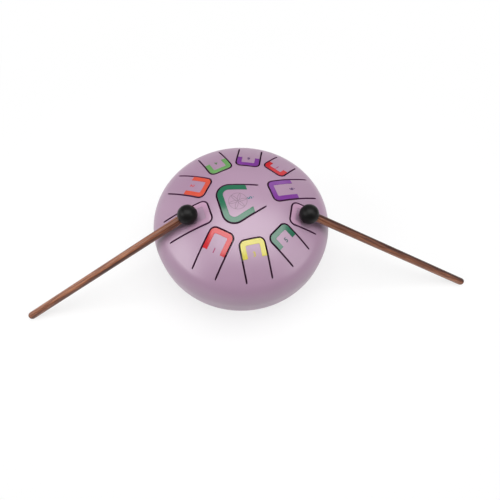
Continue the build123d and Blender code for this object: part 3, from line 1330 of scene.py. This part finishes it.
@dataclass(frozen=True)
class Rosette:
    """A six-petal compass rosette in a ring, printed in thin lines on the centre tongue."""

    note: Note
    ink: bpy.types.Material
    along: float = -3.2 * MM
    radius: float = 7.2 * MM
    line: float = 0.45 * MM
    edge: float = 0.01 * MM  # radius of a line's arrises
    petals: int = 6
    arc_steps: int = 28
    step: float = 0.002 * MM  # each line lies a little over the one before

    def build(self) -> None:
        """Makes and dresses the rosette."""
        install(make_piece("rosette", self.lines()), self.ink, self.note.body)

    def lines(self) -> list[Surface]:
        """The ring, and arcs of its radius struck from evenly spaced points on it through its middle."""
        full = 2.0 * np.pi
        surfaces = self.arc_line(np.zeros(2), np.linspace(0.0, full, SMALL_STEPS, endpoint=False), 0, True)
        for petal in range(self.petals):
            start = full * petal / self.petals
            centre = self.radius * np.array([math.cos(start), math.sin(start)])
            angle = start + np.linspace(full / 3.0, full * 2.0 / 3.0, self.arc_steps)
            surfaces += self.arc_line(centre, angle, petal + 1, False)
        return surfaces

    def arc_line(self, centre: Array, angle: Array, order: int, closed: bool) -> list[Surface]:
        """A line of even width along an arc, radius times (cos a, sin a) about a centre.

        Args:
            centre: Centre of the arc, from the middle of the rosette.
            angle: Angles along the arc.
            order: Place of the line in the stack.
            closed: Whether it is a whole ring.

        Returns:
            The line's surfaces.
        """
        spoke = np.stack([np.cos(angle), np.sin(angle)], axis=-1)
        middle = centre + np.array([self.along, 0.0])
        inner = self.note.plan.placed(middle + (self.radius - self.line / 2.0) * spoke)
        outer = self.note.plan.placed(middle + (self.radius + self.line / 2.0) * spoke)
        section = (self.note.ink_gap, self.note.ink_thickness + order * self.step, self.edge)
        return strip(inner, outer, self.note.form.dome_skin, *section, closed)


@dataclass(frozen=True)
class Mallet:
    """A mallet: a wooden stick glued into a rubber ball, with z from the ball's centre to the tail."""

    side: Side
    tone: WoodTone
    rubber: bpy.types.Material
    length: float = 178.0 * MM
    stick_radius: float = 3.3 * MM
    tail_rounding: float = 2.6 * MM
    head_radius: float = 7.7 * MM
    bore_depth: float = 11.0 * MM
    bore_radius: float = 3.32 * MM
    mouth_rounding: float = 0.4 * MM
    tail_steps: int = 12
    mouth_steps: int = 8
    ball_steps: int = 48

    @property
    def body(self) -> str:
        """The CAD body that the mallet's pieces move with."""
        return f"{self.side.value}_mallet"

    @property
    def bore_floor(self) -> float:
        """Place of the bore's floor along the stick."""
        return self.head_radius - self.bore_depth

    def place(self) -> tuple[Array, Array]:
        """The ball's centre and the mallet's own axes, from the ball's box and the joint at the tail."""
        low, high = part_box(f"{self.body}_head")
        tail, _ = joint_line(f"{self.body}_stroke")
        along = unit(tail - np.array((low + high) / 2.0))
        level = unit(np.cross(np.array([0.0, 0.0, 1.0]), along))
        axes = np.stack([level, np.cross(along, level), along])
        return tail - along * (self.length - self.tail_rounding), axes

    def build(self) -> None:
        """Makes and dresses the stick and the ball."""
        origin, axes = self.place()
        label = f"{self.side.value}_stick_wood"
        wood = OiledWood(label, origin, axes, self.stick_radius, self.tone).material()
        stick = make_piece(f"{self.body}_wood", [self.stick().placed(origin, axes)])
        install(stick, wood, self.body, f"{self.body}_stick")
        head = make_piece(f"{self.body}_ball", [self.head().placed(origin, axes)])
        install(head, self.rubber, self.body, f"{self.body}_head")

    def stick(self) -> Surface:
        """The stick: a rounded tail, a straight side and a flat end in the bore."""
        shoulder = self.stick_radius - self.tail_rounding
        centre = (shoulder, self.length - self.tail_rounding)
        floor = self.bore_floor
        profile = Profile.chain(
            Profile.line((0.0, self.length), (shoulder, self.length)),
            Profile.arc(centre, self.tail_rounding, np.pi / 2.0, 0.0, self.tail_steps),
            Profile.path((self.stick_radius, centre[1]), (self.stick_radius, floor), (0.0, floor)),
        )
        return profile.turned(SMALL_STEPS)

    def head(self) -> Surface:
        """The ball: the blind bore, its rounded mouth, and the ball's own round to the far pole."""
        lip = self.mouth_rounding
        mouth = self.bore_radius + lip
        mouth_z = math.sqrt((self.head_radius - lip) ** 2 - mouth**2)
        lean = math.atan2(mouth_z, mouth)
        floor = self.bore_floor
        profile = Profile.chain(
            Profile.path((0.0, floor), (self.bore_radius, floor), (self.bore_radius, mouth_z)),
            Profile.arc((mouth, mouth_z), lip, np.pi, lean, self.mouth_steps),
            Profile.arc((0.0, 0.0), self.head_radius, lean, -np.pi / 2.0, self.ball_steps),
        )
        return profile.turned(SMALL_STEPS)


# The studio


@dataclass(frozen=True)
class Softbox:
    """An even oblong light that faces its aim."""

    name: str
    centre: tuple[float, float, float]
    size: tuple[float, float]
    radiance: float
    aim: tuple[float, float, float] = (0.0, 0.0, 0.06)

    def build(self) -> None:
        """Makes the light: its power is radiance times pi times its area."""
        lamp = bpy.data.lights.new(self.name, "AREA")
        lamp.shape = "RECTANGLE"
        lamp.size, lamp.size_y = self.size
        lamp.energy = self.radiance * math.pi * self.size[0] * self.size[1]
        holder = bpy.data.objects.new(self.name, lamp)
        holder.location = self.centre
        facing = (Vector(self.aim) - Vector(self.centre)).to_track_quat("-Z", "Y")
        holder.rotation_euler = facing.to_euler()
        holder.visible_camera = False
        bpy.context.scene.collection.objects.link(holder)


@dataclass(frozen=True)
class Studio:
    """White floor, soft lights overhead, at each side and three dim ones behind, a dim room and the camera.

    Attributes:
        floor_half: Half of the floor's width.
        floor_z: Its height, just below the feet.
        floor_colour: Its own colour.
        floor_below: Radii between which the floor's plain white starts, out from under the drum.
        floor_round: Radii between which the floor loses its shadows.
        floor_near: Share of plain white in the floor close to the drum.
        mirror_round: Radii between which the white that gloss shows falls off.
        mirror_far: Share of the white that gloss shows from there on.
        mirror_height: Rise of a ray at which gloss shows no white of the room any more.
        softboxes: The lights.
        room: Strength of the room's own light.
        lens: The camera's focal length for its sensor, both in millimetres.
        sensor: Width of the sensor.
        near_clip: Distance from which the camera sees.
        camera_place: The camera's place.
        camera_turn: Its turns about x, y and z, in degrees.
    """

    floor_half: float = 4.0
    floor_z: float = -0.05 * MM
    floor_colour: tuple[float, float, float, float] = (0.9, 0.9, 0.9, 1.0)
    floor_below: tuple[float, float] = (0.045, 0.065)
    floor_round: tuple[float, float] = (0.1, 0.4)
    floor_near: float = 0.7
    mirror_round: tuple[float, float] = (0.12, 0.5)
    mirror_far: float = 0.1
    mirror_height: float = 0.12
    softboxes: tuple[Softbox, ...] = (
        Softbox("overhead_softbox", (0.135, 0.025, 1.0), (1.25, 0.75), 3.8, (0.135, 0.025, 0.0)),
        Softbox("left_softbox", (-1.26, -0.34, 0.92), (1.0, 0.6), 4.85),
        Softbox("right_softbox", (1.35, -0.47, 0.9), (0.9, 0.7), 2.5),
        Softbox("back_softbox", (0.2, 1.5, 1.05), (1.6, 0.6), 0.65),
        Softbox("back_left_softbox", (-1.75, 0.5, 0.45), (1.8, 0.8), 0.95),
        Softbox("back_right_softbox", (1.2, 1.7, 0.55), (1.3, 1.0), 0.5),
    )
    room: float = 0.02
    lens: float = 25.92
    sensor: float = 36.0
    near_clip: float = 5.0 * MM
    camera_place: tuple[float, float, float] = (0.0, -0.151489, 0.321602)
    camera_turn: tuple[float, float, float] = (24.522258, -1.166954, -0.688721)

    def build(self) -> None:
        """Makes the floor, the lights, the room and the camera."""
        self.floor()
        for softbox in self.softboxes:
            softbox.build()
        self.world()
        self.camera()
        bpy.context.scene.view_settings.view_transform = "Standard"

    def floor(self) -> None:
        """A white floor that shows white to the camera and keeps the shadows near the drum."""
        half = self.floor_half
        mesh = bpy.data.meshes.new("floor")
        corners = [(-half, -half), (half, -half), (half, half), (-half, half)]
        mesh.from_pydata([(*corner, self.floor_z) for corner in corners], [], [(0, 1, 2, 3)])
        material, graph = blank_material("white_floor")
        length = graph.node("ShaderNodeVectorMath", {"operation": "LENGTH"}, {0: graph.place()})
        distance = Value(graph, length.outputs["Value"])
        outside = distance.smooth(*self.floor_below)
        spread = distance.smooth(*self.floor_round)
        distant = distance.smooth(*self.mirror_round)
        share = outside * (self.floor_near + (1.0 - self.floor_near) * spread)
        white = graph.node("ShaderNodeEmission", None, {"Color": WHITE, "Strength": 1.0})
        matt = graph.node("ShaderNodeBsdfDiffuse", None, {"Color": self.floor_colour})
        inputs = {
            "Fac": graph.seen(1.0 - (1.0 - self.mirror_far) * distant) * share,
            1: matt.outputs["BSDF"],
            2: white.outputs["Emission"],
        }
        mix = graph.node("ShaderNodeMixShader", None, inputs)
        graph.node("ShaderNodeOutputMaterial", None, {"Surface": mix.outputs["Shader"]})
        mesh.materials.append(material)
        floor = bpy.data.objects.new("floor", mesh)
        bpy.context.scene.collection.objects.link(floor)

    def world(self) -> None:
        """A dim room that shows white to the camera, and a little of it to gloss round the horizon."""
        world = bpy.data.worlds.new("studio")
        world.use_nodes = True
        bpy.context.scene.world = world
        graph = Graph(world.node_tree)
        direction = graph.node("ShaderNodeTexCoord").outputs["Generated"]
        height = Value(graph, graph.node("ShaderNodeSeparateXYZ", None, {0: direction}).outputs["Z"])
        horizon = 1.0 - height.smooth(0.0, self.mirror_height)
        strength = self.room + (1.0 - self.room) * graph.seen(self.mirror_far * horizon)
        background = graph.node("ShaderNodeBackground", None, {"Color": WHITE, "Strength": strength})
        graph.node("ShaderNodeOutputWorld", None, {"Surface": background.outputs["Background"]})

    def camera(self) -> None:
        """The camera: its place and its turn."""
        data = bpy.data.cameras.new("camera")
        data.sensor_width = self.sensor
        data.lens = self.lens
        data.clip_start = self.near_clip
        turn = Euler([math.radians(angle) for angle in self.camera_turn])
        holder = bpy.data.objects.new("camera", data)
        holder.matrix_world = Matrix.Translation(self.camera_place) @ turn.to_matrix().to_4x4()
        bpy.context.scene.collection.objects.link(holder)
        bpy.context.scene.camera = holder


# The whole

RING_TONGUE = TongueShape(root_width=18.8 * MM, tip_width=18.7 * MM, corner=4.0 * MM, band_width=3.8 * MM)
CENTRE_TONGUE = TongueShape(root_width=19.2 * MM, tip_width=40.6 * MM, corner=8.9 * MM, band_width=4.4 * MM)
# Wood tones of the two sticks; the share at the ball is painted shade cast by the ball.
LEFT_WOOD = WoodTone(one_side=0.02, whole=-0.02, ball_shade=0.085)
RIGHT_WOOD = WoodTone(one_side=0.25, whole=0.18, ball_shade=0.03)
ROSETTE_GREY = srgb(134, 112, 128)
CENTRE_NOTE = "low_5"
NOTE_STYLES = {
    CENTRE_NOTE: NoteStyle(NoteColour.SEA, Octave.LOW, 6.5 * MM),
    "4": NoteStyle(NoteColour.LEAF, Octave.MIDDLE, 46.1 * MM),
    "6": NoteStyle(NoteColour.PURPLE, Octave.MIDDLE, 46.6 * MM),
    "high_1": NoteStyle(NoteColour.RED, Octave.HIGH, 48.5 * MM),
    "low_6": NoteStyle(NoteColour.PURPLE, Octave.LOW, 43.2 * MM),
    "7": NoteStyle(NoteColour.PINK, Octave.MIDDLE, 47.5 * MM),
    "5": NoteStyle(NoteColour.GREEN, Octave.MIDDLE, 46.0 * MM),
    "3": NoteStyle(NoteColour.YELLOW, Octave.MIDDLE, 44.1 * MM),
    "1": NoteStyle(NoteColour.RED, Octave.MIDDLE, 44.8 * MM),
    "low_7": NoteStyle(NoteColour.PINK, Octave.LOW, 43.4 * MM),
    "2": NoteStyle(NoteColour.ORANGE, Octave.MIDDLE, 43.4 * MM),
}


def tongue_plans() -> dict[str, TonguePlan]:
    """The plan of every tongue: the ring ones alike in width, and the centre one wide at its tip."""
    shapes = {note: CENTRE_TONGUE if note == CENTRE_NOTE else RING_TONGUE for note in NOTE_STYLES}
    return {note: TonguePlan.from_frame(note, shape) for note, shape in shapes.items()}


def build_notes(form: DrumForm, plans: dict[str, TonguePlan], paint: bpy.types.Material) -> None:
    """Makes every note and the rosette on the centre tongue.

    Args:
        form: The drum's half section.
        plans: The tongues' plans by note.
        paint: The drum's paint.
    """
    films = {}
    inks = {}
    for colour in NoteColour:
        label = colour.name.lower()
        films[colour] = GlossFilm(f"{label}_film", colour.value.film).material()
        inks[colour] = PrintedInk(f"{label}_ink", colour.value.ink).material()
    notes = {}
    for name, style in NOTE_STYLES.items():
        film, ink = films[style.colour], inks[style.colour]
        notes[name] = Note(name, style, plans[name], form, paint, film, ink)
        notes[name].build()
    grey = PrintedInk("grey_ink", ROSETTE_GREY).material()
    Rosette(notes[CENTRE_NOTE], grey).build()


def main() -> None:
    """Builds the drum, the mallets and the studio, in that order."""
    logging.basicConfig(level=logging.INFO, format="%(name)s: %(message)s")
    form = DrumForm.from_frame()
    plans = tongue_plans()
    paint = SatinPaint().material()
    pads = MouldedRubber("foot_rubber", srgb(38, 36, 36), roughness=0.7, grain_depth=0.02 * MM)
    balls = MouldedRubber("head_rubber", srgb(20, 19, 19), roughness=0.4, grain_depth=0.006 * MM)
    foot_rubber = pads.material()
    head_rubber = balls.material()
    Shells(form, list(plans.values()), paint, foot_rubber).build()
    build_notes(form, plans, paint)
    Mallet(Side.LEFT, LEFT_WOOD, head_rubber).build()
    Mallet(Side.RIGHT, RIGHT_WOOD, head_rubber).build()
    Studio().build()


if __name__ == "__main__":
    main()
